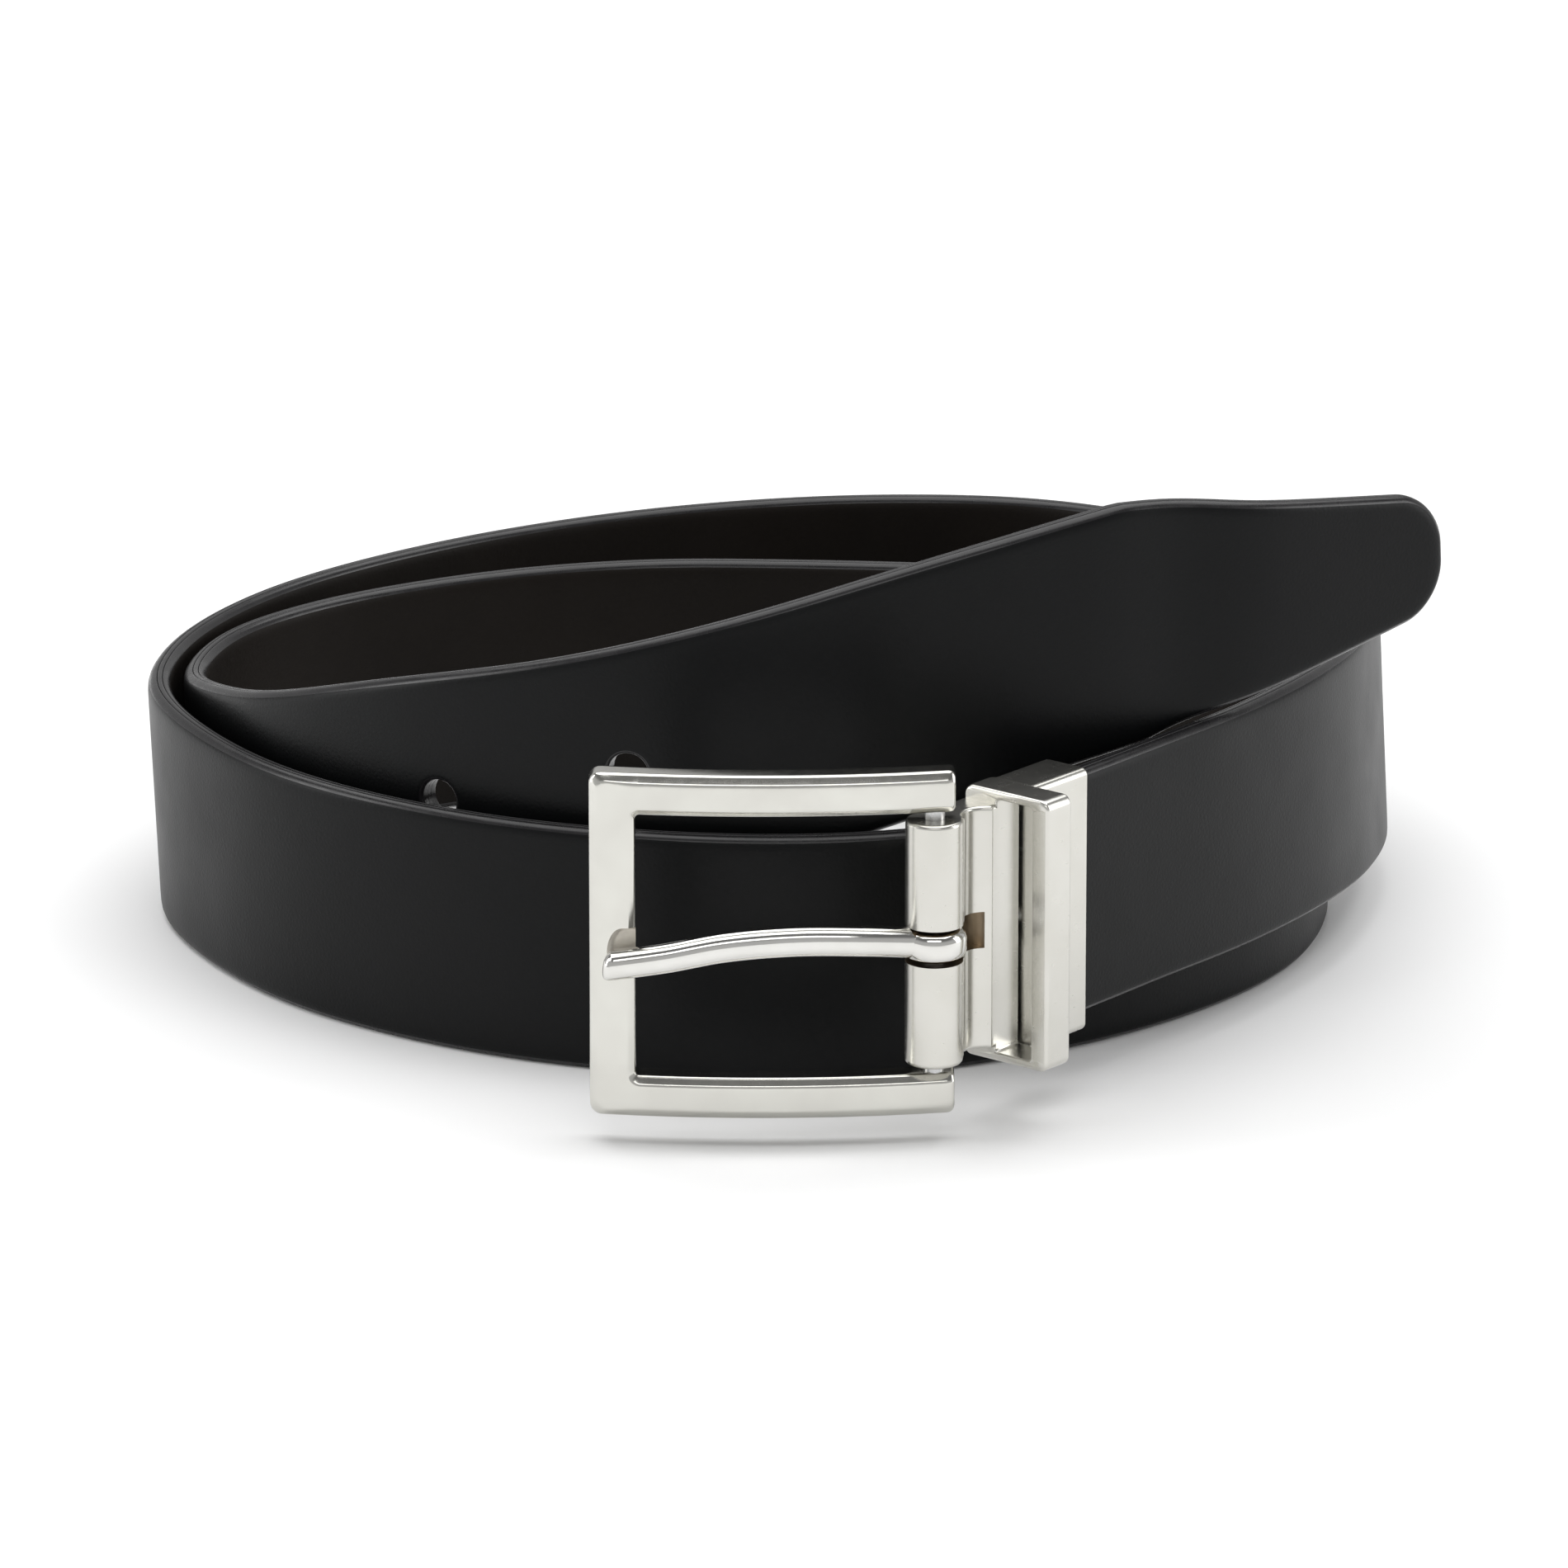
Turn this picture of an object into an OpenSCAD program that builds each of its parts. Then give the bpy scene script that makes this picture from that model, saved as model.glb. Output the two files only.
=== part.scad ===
// Reversible dress belt, coiled and standing on its edge, with a twist-swivel buckle.
// Millimetres. +Z is up, z = 0 is the surface the strap's edge stands on, and +X runs
// along the buckle's swivel axis, from the buckle towards the strap.

/* [Strap] */
// Width of the strap
strap_w = 30; // [30:0.5:30.5]
// Thickness of the outer leather
outer_t = 1.2; // [1.0:0.1:1.2]
// Thickness of the stiffening core
core_t = 0.6; // [0.4:0.1:0.6]
// Thickness of the lining leather
lining_t = 1.1; // [0.9:0.1:1.1]
// Diameter of the punched holes
hole_d = 4.8; // [4.2:0.1:5.2]
// Number of punched holes
hole_count = 5; // [3:1:7]
// Distance from hole to hole
hole_pitch = 25.4; // [20:0.1:26]
// Distance from the tip to the first hole
tip_to_hole = 108; // [90:1:120]

/* [Tip] */
// Length of the tapered end
tip_len = 45; // [40:1:55]
// Width of the blunt end
tip_w = 14; // [13:1:20]
// Corner radius of the blunt end
tip_r = 6; // [2:0.5:6]

/* [Frame] */
// Height of the buckle frame
frame_h = 41.6; // [41.4:0.1:42.5]
// Length of the frame from the pin to its far edge
frame_len = 40; // [38:0.2:42]
// Height of the top and bottom arms
arm_h = 5; // [4.5:0.1:5]
// Width of the far bar
bar_w = 5.4; // [4.5:0.1:6]
// Thickness of the frame
frame_t = 4; // [3.6:0.1:4.2]
// Radius of the frame's bow
bow_r = 110; // [90:5:200]
// Outer corner radius
frame_r = 1.4; // [0.8:0.1:2]
// Angle between the frame and the swivel axis
fold = 50.5; // [40:0.5:55]

/* [Hinge] */
// Diameter of the cross pin
pin_d = 2.4; // [2.2:0.1:2.6]
// Diameter of the hinge barrels
barrel_d = 6.8; // [6.4:0.1:7]
// Thickness of the prong
prong_d = 3.6; // [3.4:0.1:4]

/* [Keeper] */
// Length of the keeper loop along the strap
keeper_len = 4.5; // [4:0.1:4.5]
// Clear gap of the loop across the strap
keeper_gap = 5.3; // [5:0.1:5.4]
// Thickness of the loop's front wall
keeper_wall = 2.4; // [1.8:0.1:2.4]
// Thickness of the loop's top and bottom plates
keeper_plate = 1.1; // [1:0.1:1.2]

/* [Clamp] */
// Length of the clamp housing
clamp_len = 10.2; // [10:0.1:10.4]
// Thickness of the clamp housing
clamp_t = 6.6; // [6.4:0.1:7]
// Height of the clamp housing
clamp_h = 32.2; // [31.8:0.1:32.4]

/* [Hidden] */
$fn = 48;
eps = 0.01;

// The coil's centre is drawn at the origin and then moved so that the whole belt's
// box is centred over the row's origin.
shift = [6.8, 6.6, 0];

// Swivel axis, in the coil's own coordinates
axis_y = -75.2;
axis_z = 24.2;
pin_x = -63;
pin_y = 0.7;              // the cross pin stands this far behind the swivel axis
run = 0.05;               // radial clearance of a running fit
glue = 0.05;              // glue line between two layers
black = [0.03, 0.03, 0.035];
brown = [0.12, 0.07, 0.05];
nickel = [0.78, 0.77, 0.74];
steel = [0.6, 0.6, 0.62];

// ---- Strap route ----
// Stations: angle round the coil, radius, height of the strap's middle, and how far
// the top edge leans out past the bottom edge.
stations = [
    [-105, 77.6, 24.3, 0], [-94, 74.3, 24, -0.3], [-78, 72, 23.4, -0.8], [-60, 71.6, 21.8, -1.4],
    [-40, 73.8, 19.6, -1.4], [-15, 76.4, 17.3, -0.8], [10, 77.2, 16, 0], [28, 75.7, 15.2, 0],
    [47, 71.5, 15, 0], [68, 68.6, 15, 0], [89, 69, 15, 0.4], [107, 71.9, 15, 0.8],
    [125, 75.2, 15, 1.2], [142, 76.6, 15, 1.4], [166, 75.2, 15, 1.4], [189, 74, 15, 1],
    [211, 73.5, 15, 0.3], [230, 73, 15, 0], [251, 70.4, 15, 0], [272, 68.6, 15, -0.4],
    [290, 67, 15, -1], [310, 65, 15, -0.8], [333, 61, 15, -0.4], [350, 55.3, 15, 0],
    [365, 49.8, 15, 0], [380, 45.6, 15, 0], [400, 44.2, 15, 0], [420, 47.4, 15, 0],
    [438, 52, 15, 0], [452, 57, 15, 0], [465, 63, 15, 0.4], [478, 69, 15, 0.8],
    [490, 71.8, 15, 1.2], [500, 72, 16.1, 1], [520, 71, 21.1, 0.6], [540, 69.6, 28.2, 0.4],
    [560, 69.2, 34.4, 0], [578, 69.2, 40.8, 0], [596, 70.2, 47.4, 0], [612, 71.8, 51.5, 0],
    [620, 72.2, 52.5, 0], [626, 76.2, 52.8, 0], [645, 86.2, 54.3, 0]];

// The strap enters the clamp along the swivel axis
entry = [[-47.4, axis_y, axis_z, 0], [-41, axis_y, axis_z, 0], [-35, axis_y, axis_z, 0]];
route = concat(entry, [for (s = stations) [s[1] * cos(s[0]), s[1] * sin(s[0]), s[2], s[3]]]);

function clampi(i) = max(0, min(len(route) - 1, i));
function spline(a, b, c, d, f) =
    0.5 * (2 * b + (c - a) * f + (2 * a - 5 * b + 4 * c - d) * f * f
           + (3 * b - a - 3 * c + d) * f * f * f);
// A point of the route, never lower than the strap standing on its edge
function route_pt(i, f) =
    let (p = spline(route[clampi(i - 1)], route[i], route[clampi(i + 1)], route[clampi(i + 2)], f))
    [p[0], p[1], max(p[2], strap_w / 2), p[3]];

fine_step = 1;
fine = concat(
    [for (i = [0 : len(route) - 2])
        let (n = ceil(norm(route[i + 1] - route[i]) / fine_step))
        for (j = [0 : n - 1]) route_pt(i, j / n)],
    [route[len(route) - 1]]);
run_s = [for (i = 0, s = 0; i < len(fine);
              s = s + (i + 1 < len(fine) ? norm(xyz(fine[i + 1]) - xyz(fine[i])) : 0), i = i + 1) s];
strap_len = run_s[len(run_s) - 1];
table = [for (k = [0 : 3]) [for (i = [0 : len(fine) - 1]) [run_s[i], fine[i][k]]]];

function xyz(p) = [p[0], p[1], p[2]];
function unit(v) = v / norm(v);
function at(s) = [for (k = [0 : 2]) lookup(s, table[k])];
function along(s) = unit(at(min(s + 2, strap_len)) - at(max(s - 2, 0)));
function upright(s) = let (t = along(s)) unit([0, 0, 1] - t[2] * t);
function outward(s) = unit(cross(along(s), upright(s)));
function across(s) = upright(s) + outward(s) * lookup(s, table[3]) / strap_w;

// Half the strap's width at arc length s: straight, tapered, then rounded to the end
function taper(d) = tip_w / 2 + (strap_w - tip_w) / 2 * min(d, tip_len) / tip_len;
function half_w(s) =
    let (d = strap_len - s)
    taper(d) - (d < tip_r ? tip_r - sqrt(tip_r * tip_r - (tip_r - d) * (tip_r - d)) : 0);

ring_step = 4;
tip_rings = [1, 0.75, 0.52, 0.33, 0.18, 0.07, 0];  // where the end's rings stand, as shares of tip_r
rings = concat([for (s = [0 : ring_step : strap_len - tip_r - 1]) s],
               [for (d = tip_rings) strap_len - d * tip_r]);

// One closed layer of the strap, from n0 to n1 out from its middle surface
module layer(n0, n1) {
    corners = [[n1, -1], [n1, 1], [n0, 1], [n0, -1]];
    points = [for (s = rings) for (c = corners) at(s) + outward(s) * c[0] + across(s) * c[1] * half_w(s)];
    last = 4 * (len(rings) - 1);
    sides = [for (i = [0 : len(rings) - 2]) for (k = [0 : 3])
                let (a = 4 * i + k, b = 4 * i + (k + 1) % 4)
                for (tri = k == 2 ? [[a, a + 4, b], [b, a + 4, b + 4]]
                                  : [[a, a + 4, b + 4], [a, b + 4, b]]) tri];
    polyhedron(points, concat([[0, 1, 2], [0, 2, 3]], sides,
                      [[last + 2, last + 1, last], [last + 3, last + 2, last]]));
}

module hole_cutters() {
    for (k = [0 : hole_count - 1]) {
        s = strap_len - tip_to_hole - k * hole_pitch;
        n = outward(s);
        translate(at(s))
            rotate([0, 90, atan2(n[1], n[0])])
                cylinder(h = 12, d = hole_d, center = true);
    }
}

total_t = outer_t + core_t + lining_t + 2 * glue;
outer_n = total_t / 2;
core_n = outer_n - outer_t - glue;
lining_n = core_n - core_t - glue;

module strap_layer(n0, n1) {
    difference() {
        layer(n0, n1);
        hole_cutters();
        on_axis()
            translate([boss_x1 - 20, -5, -boss_d / 2 - 0.5])
                cube([20.4, 10, boss_d + 1]);
    }
}

module strap_outer_leather() color(black) place() strap_layer(outer_n - outer_t, outer_n);
module strap_core() color([0.25, 0.2, 0.16]) place() strap_layer(core_n - core_t, core_n);
module strap_lining() color(brown) place() strap_layer(lining_n - lining_t, lining_n);

// ---- Placing ----
module place() translate(shift) children();
// x from the cross pin along the swivel axis, y behind it, z from its height
module on_axis() translate([pin_x, axis_y, axis_z]) children();
// x from the cross pin along the folded frame, y towards its back
module on_frame() on_axis() translate([0, pin_y, 0]) rotate([0, 0, 180 - fold]) mirror([0, 1, 0]) children();

// ---- Keeper block: hinge barrels, block and keeper loop in one casting ----
keeper_x0 = 8.6;
keeper_x1 = keeper_x0 + keeper_len;
block_back = 3.3;
block_front = -1.5;
gap_y = block_front - keeper_gap;
wall_y = gap_y - keeper_wall;
loop_in_h = strap_w + 0.8;
loop_h = loop_in_h + 2 * keeper_plate;
loop_r = 1.2;
barrel_h = 29.6;
slot_z = -0.2;
slot_h = prong_d + 0.8;
eye_d = 7.6;
post_d = 2.4;
slot_deep = 3.4;          // the slot's round end is centred this far behind the pin
neck_x = 5.2;             // groove between the barrels and the block
neck_y = -2.9;
neck_r = 2.8;
post_x0 = 9;
post_x1 = 22;

module box_between(a, b) translate(a) cube(b - a);

// A bar along X with rounded edges, from corner a to corner b
module rounded_bar(a, b, r) {
    translate([a[0], 0, 0])
        rotate([90, 0, 90])
            linear_extrude(b[0] - a[0])
                hull()
                    for (y = [a[1] + r, b[1] - r]) for (z = [a[2] + r, b[2] - r])
                        translate([y, z]) circle(r, $fn = 24);
}

module keeper_block() color(nickel) place() on_axis() {
    difference() {
        union() {
            translate([0, pin_y, -barrel_h / 2]) cylinder(h = barrel_h, d = barrel_d);
            box_between([0, block_front, -barrel_h / 2], [keeper_x0 + eps, block_back, barrel_h / 2]);
            rounded_bar([keeper_x0, wall_y, -loop_h / 2], [keeper_x1, block_back, loop_h / 2], loop_r);
        }
        box_between([keeper_x0 - eps, gap_y, -loop_in_h / 2],
                    [keeper_x1 + 1, block_front, loop_in_h / 2]);
        translate([0, pin_y, -barrel_h]) cylinder(h = 2 * barrel_h, d = pin_d + 2 * run);
        translate([slot_deep, pin_y, slot_z - slot_h / 2]) cylinder(h = slot_h, d = eye_d + 0.8);
        box_between([-barrel_d, -barrel_d, slot_z - slot_h / 2],
                    [slot_deep, barrel_d, slot_z + slot_h / 2]);
        translate([neck_x, neck_y, -barrel_h]) cylinder(h = 2 * barrel_h, r = neck_r);
        rotate([0, 90, 0]) translate([0, 0, post_x0]) cylinder(h = 10, d = post_d);
    }
}

// ---- Cross pin, frame and prong ----
pin_h = frame_h - 2 * arm_h + 6;
module cross_pin() color(steel) place() on_axis()
    translate([0, pin_y, -pin_h / 2]) cylinder(h = pin_h, d = pin_d);

arm_over = 2.4;           // how far the arms run past the pin
bow_mid = frame_len / 2;
bow_y = sqrt(bow_r * bow_r - bow_mid * bow_mid);
notch_h = 5.5;
notch_z = -0.65;
notch_y = -1.7;           // the notch's floor

module rounded_rect(x0, x1, h, r) {
    hull()
        for (x = [x0 + r, x1 - r]) for (z = [-h / 2 + r, h / 2 - r])
            translate([x, z]) circle(r, $fn = 32);
}

module frame_outline() {
    difference() {
        rounded_rect(-arm_over, frame_len, frame_h, frame_r);
        translate([-arm_over - 1, -frame_h / 2 + arm_h])
            square([frame_len - bar_w + arm_over + 1, frame_h - 2 * arm_h]);
    }
}

module buckle_frame() color(nickel) place() on_frame() {
    difference() {
        intersection() {
            rotate([90, 0, 0]) linear_extrude(20, center = true) frame_outline();
            translate([bow_mid, bow_y, -frame_h])
                difference() {
                    cylinder(h = 2 * frame_h, r = bow_r + frame_t / 2, $fn = 200);
                    translate([0, 0, -1]) cylinder(h = 2 * frame_h + 2, r = bow_r - frame_t / 2, $fn = 200);
                }
        }
        translate([0, 0, -pin_h / 2]) cylinder(h = pin_h, d = pin_d);
        translate([frame_len - bar_w - 1, -10, notch_z - notch_h / 2])
            cube([1 + bar_w * 0.6, 10 + notch_y, notch_h]);
    }
}

// Prong: an eye on the pin and a bowed bar whose tip rests over the far bar
prong_len = 38.4;
prong_mid = [[0, 0, 0], [3, -1.4, 0.4], [8, -2.9, 1], [16, -4.2, 1.4], [24, -4.8, 0.9],
             [31, -4.9, -0.4], [prong_len - 1.2, -4.85, -1.3]];
prong_sides = 16;
prong_steps = 5;

function prong_pt(i, f) =
    let (m = len(prong_mid) - 1)
    spline(prong_mid[max(0, i - 1)], prong_mid[i], prong_mid[min(m, i + 1)], prong_mid[min(m, i + 2)], f);

prong_line = concat([for (i = [0 : len(prong_mid) - 2]) for (j = [0 : prong_steps - 1])
                        prong_pt(i, j / prong_steps)], [prong_mid[len(prong_mid) - 1]]);
prong_cap = [[0, 1], [0.55, 0.84], [0.95, 0.55], [1.15, 0.2]];

module prong_bar() {
    n = len(prong_line);
    last_dir = unit(prong_line[n - 1] - prong_line[n - 2]);
    rows = concat([for (p = prong_line) [p, prong_d / 2]],
                  [for (c = prong_cap) if (c[0] > 0) [prong_line[n - 1] + last_dir * c[0], prong_d / 2 * c[1]]]);
    m = len(rows);
    pts = [for (i = [0 : m - 1])
              let (t = unit(rows[min(i + 1, m - 1)][0] - rows[max(i - 1, 0)][0]),
                   side = unit(cross(t, [0, 0, 1])), top = cross(side, t))
              for (k = [0 : prong_sides - 1])
                  rows[i][0] + rows[i][1] * (cos(360 * k / prong_sides) * side
                                             + sin(360 * k / prong_sides) * top)];
    sides = [for (i = [0 : m - 2]) for (k = [0 : prong_sides - 1])
                let (a = prong_sides * i + k, b = prong_sides * i + (k + 1) % prong_sides)
                for (tri = [[a, b, b + prong_sides], [a, b + prong_sides, a + prong_sides]]) tri];
    ends = [[for (k = [prong_sides - 1 : -1 : 0]) k],
            [for (k = [0 : prong_sides - 1]) prong_sides * (m - 1) + k]];
    polyhedron(pts, concat(sides, ends));
}

module prong() color(nickel) place() on_frame() translate([0, 0, slot_z])
    difference() {
        union() {
            cylinder(h = prong_d, d = eye_d, center = true);
            prong_bar();
        }
        cylinder(h = 20, d = pin_d + 2 * run, center = true);
    }

// ---- Clamp and the sprung swivel inside it ----
clamp_x0 = keeper_x1 + 0.4;
clamp_x1 = clamp_x0 + clamp_len;
end_wall = 1.2;
boss_d = 6.2;
boss_bore = 4.8;
boss_x1 = clamp_x1 - 0.9;
slot_w = total_t + 0.1;
plate_t = 0.6;
slot_x0 = clamp_x0 + 1.9;
screw_d = 2.2;
screw_z = 10;
screw_x = clamp_x0 + 6;

module clamp_housing() color(nickel) place() on_axis()
    difference() {
        rounded_bar([clamp_x0, -clamp_t / 2, -clamp_h / 2], [clamp_x1, clamp_t / 2, clamp_h / 2], 1);
        difference() {
            box_between([slot_x0, -slot_w / 2, -strap_w / 2 - 0.2],
                        [clamp_x1 + 1, slot_w / 2 + plate_t + 0.05, strap_w / 2 + 0.2]);
            rotate([0, 90, 0]) translate([0, 0, slot_x0 - 1]) cylinder(h = boss_x1 - slot_x0 + 1, d = boss_d);
        }
        rotate([0, 90, 0]) translate([0, 0, clamp_x0 - 1]) cylinder(h = clamp_len, d = post_d + 2 * run);
        rotate([0, 90, 0]) translate([0, 0, clamp_x0 + end_wall]) cylinder(h = clamp_len, d = boss_bore);
        for (z = [-screw_z, screw_z])
            translate([screw_x, 0, z]) rotate([-90, 0, 0]) cylinder(h = 10, d = screw_d);
    }

// Toothed plate that the two screws press against the lining
tooth_pitch = 1.4;
module grip_plate() color(steel) place() on_axis()
    for (side = [-1, 1])
        difference() {
            z0 = side > 0 ? boss_d / 2 + 0.6 : -strap_w / 2;
            z1 = side > 0 ? strap_w / 2 : -boss_d / 2 - 0.6;
            box_between([slot_x0 + 0.3, slot_w / 2, z0], [clamp_x1 - 0.6, slot_w / 2 + plate_t, z1]);
            for (k = [0 : 4])
                translate([slot_x0 + 1 + k * tooth_pitch, slot_w / 2 - 0.3, z0 - 1])
                    cube([0.5, 0.5, z1 - z0 + 2]);
        }

module clamp_screws() color(steel) place() on_axis()
    for (z = [-screw_z, screw_z])
        translate([screw_x, 0, z]) rotate([-90, 0, 0])
            difference() {
                translate([0, 0, slot_w / 2 + plate_t])
                    cylinder(h = clamp_t / 2 - slot_w / 2 - plate_t - 0.2, d = screw_d);
                translate([-screw_d, -0.25, clamp_t / 2 - 0.7]) cube([2 * screw_d, 0.5, 2]);
            }

groove_x = post_x1 - 1.4;
groove_w = 0.6;
groove_d = 1.6;
module swivel_post() color(steel) place() on_axis() rotate([0, 90, 0])
    difference() {
        translate([0, 0, post_x0]) cylinder(h = post_x1 - post_x0, d = post_d);
        translate([0, 0, groove_x])
            difference() {
                cylinder(h = groove_w, d = post_d + 1);
                translate([0, 0, -1]) cylinder(h = groove_w + 2, d = groove_d);
            }
    }

retainer_t = groove_w - 0.1;
module post_retainer() color(steel) place() on_axis() rotate([0, 90, 0])
    translate([0, 0, groove_x + 0.05])
        difference() {
            cylinder(h = retainer_t, d = 4);
            translate([0, 0, -1]) cylinder(h = retainer_t + 2, d = groove_d + 0.1);
            translate([0, -0.7, -1]) cube([3, 1.4, retainer_t + 2]);
        }

washer_t = 0.4;
washer_x = groove_x - washer_t;
module spring_washer() color(steel) place() on_axis() rotate([0, 90, 0])
    translate([0, 0, washer_x])
        difference() {
            cylinder(h = washer_t, d = 4.4);
            translate([0, 0, -1]) cylinder(h = washer_t + 2, d = post_d + 2 * run);
        }

// Compression spring round the post, between the end wall and the washer
wire_d = 0.45;
coil_d = 3.6;
coil_turns = 5;
coil_x0 = clamp_x0 + end_wall + wire_d / 2 + 0.05;
coil_x1 = washer_x - wire_d / 2 - 0.05;
coil_rings = 16 * coil_turns;
wire_sides = 8;

function coil_pt(i) =
    let (a = 360 * coil_turns * i / coil_rings)
    [coil_x0 + (coil_x1 - coil_x0) * i / coil_rings, coil_d / 2 * cos(a), coil_d / 2 * sin(a)];

module return_spring() color(steel) place() on_axis() {
    pts = [for (i = [0 : coil_rings])
              let (t = unit(coil_pt(i + 1) - coil_pt(i - 1)), p = coil_pt(i),
                   out = unit([0, p[1], p[2]]), side = cross(t, out))
              for (k = [0 : wire_sides - 1])
                  p + wire_d / 2 * (cos(360 * k / wire_sides) * out + sin(360 * k / wire_sides) * side)];
    sides = [for (i = [0 : coil_rings - 1]) for (k = [0 : wire_sides - 1])
                let (a = wire_sides * i + k, b = wire_sides * i + (k + 1) % wire_sides)
                for (tri = [[a, a + wire_sides, b + wire_sides], [a, b + wire_sides, b]]) tri];
    ends = [[for (k = [0 : wire_sides - 1]) k],
            [for (k = [wire_sides - 1 : -1 : 0]) wire_sides * coil_rings + k]];
    polyhedron(pts, concat(sides, ends));
}

strap_outer_leather();
strap_core();
strap_lining();
clamp_housing();
grip_plate();
clamp_screws();
swivel_post();
return_spring();
spring_washer();
post_retainer();
keeper_block();
cross_pin();
buckle_frame();
prong();
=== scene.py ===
"""A coiled reversible dress belt with a twist-swivel buckle: the visual model.

Shapes are worked out in millimetres and scaled to metres when a mesh is made.
"""
import math

import bmesh
import bpy
import numpy as np
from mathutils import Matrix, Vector


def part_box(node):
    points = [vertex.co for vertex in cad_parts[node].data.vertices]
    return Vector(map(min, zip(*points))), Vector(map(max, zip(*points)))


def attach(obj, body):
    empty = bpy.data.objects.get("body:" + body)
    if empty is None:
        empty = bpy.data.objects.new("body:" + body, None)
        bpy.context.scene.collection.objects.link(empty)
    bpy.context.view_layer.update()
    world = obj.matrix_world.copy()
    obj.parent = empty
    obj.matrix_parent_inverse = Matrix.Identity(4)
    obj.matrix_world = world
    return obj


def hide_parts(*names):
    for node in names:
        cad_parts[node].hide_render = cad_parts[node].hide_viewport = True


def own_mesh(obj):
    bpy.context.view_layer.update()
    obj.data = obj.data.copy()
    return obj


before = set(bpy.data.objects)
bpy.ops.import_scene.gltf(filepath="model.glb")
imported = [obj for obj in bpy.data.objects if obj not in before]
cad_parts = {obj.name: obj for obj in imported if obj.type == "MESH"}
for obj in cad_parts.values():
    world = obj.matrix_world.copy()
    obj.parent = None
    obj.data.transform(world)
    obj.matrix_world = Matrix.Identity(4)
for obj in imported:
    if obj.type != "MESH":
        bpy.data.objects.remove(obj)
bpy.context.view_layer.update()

MM = 0.001

# ---------------------------------------------------------------- places


def box_mm(node):
    low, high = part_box(node)
    return np.array(low) / MM, np.array(high) / MM


def middle(node):
    low, high = box_mm(node)
    return (low + high) / 2


PIN = middle("cross_pin")
AXIS = middle("swivel_post")
COIL = np.array([PIN[0] + 63, AXIS[1] + 75.2, 0])
FOLD = math.radians(50.5)


def on_axis(points):
    """x from the cross pin along the swivel axis, y behind the axis, z from its height."""
    return np.asarray(points, float) + np.array([PIN[0], AXIS[1], AXIS[2]])


def on_frame(points):
    """x from the cross pin along the folded frame, y towards the frame's back."""
    p = np.asarray(points, float)
    along = np.array([-math.cos(FOLD), math.sin(FOLD), 0])
    back = np.array([math.sin(FOLD), math.cos(FOLD), 0])
    up = np.array([0, 0, 1])
    base = np.array([PIN[0], PIN[1], AXIS[2]])
    return base + p[:, :1] * along + p[:, 1:2] * back + p[:, 2:] * up


# ---------------------------------------------------------------- mesh helpers


def make_object(name, points, faces, materials=(), face_materials=None):
    mesh = bpy.data.meshes.new(name)
    mesh.from_pydata([tuple(p) for p in np.asarray(points, float) * MM], [], faces)
    for m in materials:
        mesh.materials.append(m)
    if face_materials is not None:
        mesh.polygons.foreach_set("material_index", face_materials)
    obj = bpy.data.objects.new(name, mesh)
    bpy.context.scene.collection.objects.link(obj)
    tidy_mesh(obj)
    return obj


def tidy_mesh(obj):
    """Welds, drops loose points and turns every face outwards."""
    bm = bmesh.new()
    bm.from_mesh(obj.data)
    bmesh.ops.remove_doubles(bm, verts=bm.verts, dist=2e-6)
    loose = [v for v in bm.verts if not v.link_faces]
    bmesh.ops.delete(bm, geom=loose, context="VERTS")
    bmesh.ops.recalc_face_normals(bm, faces=bm.faces)
    bm.to_mesh(obj.data)
    bm.free()


def shade(obj, sharp_deg=38):
    """Smooth faces, with edges sharper than sharp_deg kept crisp."""
    bm = bmesh.new()
    bm.from_mesh(obj.data)
    limit = math.radians(sharp_deg)
    for f in bm.faces:
        f.smooth = True
    for e in bm.edges:
        e.smooth = len(e.link_faces) == 2 and e.calc_face_angle(0) < limit
    bm.to_mesh(obj.data)
    bm.free()


def apply_modifiers(obj):
    graph = bpy.context.evaluated_depsgraph_get()
    mesh = bpy.data.meshes.new_from_object(obj.evaluated_get(graph))
    old = obj.data
    obj.modifiers.clear()
    obj.data = mesh
    bpy.data.meshes.remove(old)


def combine(obj, other, operation="DIFFERENCE"):
    """Cuts or joins the other object's solid and removes it."""
    mod = obj.modifiers.new("solid", "BOOLEAN")
    mod.operation = operation
    mod.solver = "EXACT"
    mod.object = other
    mod.material_mode = "TRANSFER"
    apply_modifiers(obj)
    bpy.data.objects.remove(other)


def soften(obj, width, angle_deg=50, segments=2):
    """Rounds the edges that are still sharp by width millimetres."""
    mod = obj.modifiers.new("soften", "BEVEL")
    mod.width = width * MM
    mod.segments = segments
    mod.limit_method = "ANGLE"
    mod.angle_limit = math.radians(angle_deg)
    mod.use_clamp_overlap = True
    apply_modifiers(obj)


def keep_flats_flat(obj):
    """Weights the smooth normals by face area, so large flats stay even beside small rounds."""
    mod = obj.modifiers.new("weights", "WEIGHTED_NORMAL")
    mod.keep_sharp = True
    apply_modifiers(obj)


def finish_piece(obj, body, slot, *nodes, sharp_deg=38, weighted=False):
    """Shades a piece, hangs it under its body and hides the CAD nodes it stands for. slot is not
    used.
    """
    shade(obj, sharp_deg)
    if weighted:
        keep_flats_flat(obj)
    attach(obj, body)
    if nodes:
        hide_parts(*nodes)


def loft(rings, closed=False, caps=True):
    """Faces over rings of equal length. closed joins the last ring to the first."""
    count = len(rings[0])
    points = [p for ring in rings for p in ring]
    faces = []
    spans = len(rings) if closed else len(rings) - 1
    for i in range(spans):
        a0, b0 = i * count, (i + 1) % len(rings) * count
        for k in range(count):
            n = (k + 1) % count
            faces.append((a0 + k, a0 + n, b0 + n, b0 + k))
    if caps and not closed:
        faces.append(tuple(range(count)))
        faces.append(tuple(range(len(points) - count, len(points))))
    return points, faces


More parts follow.
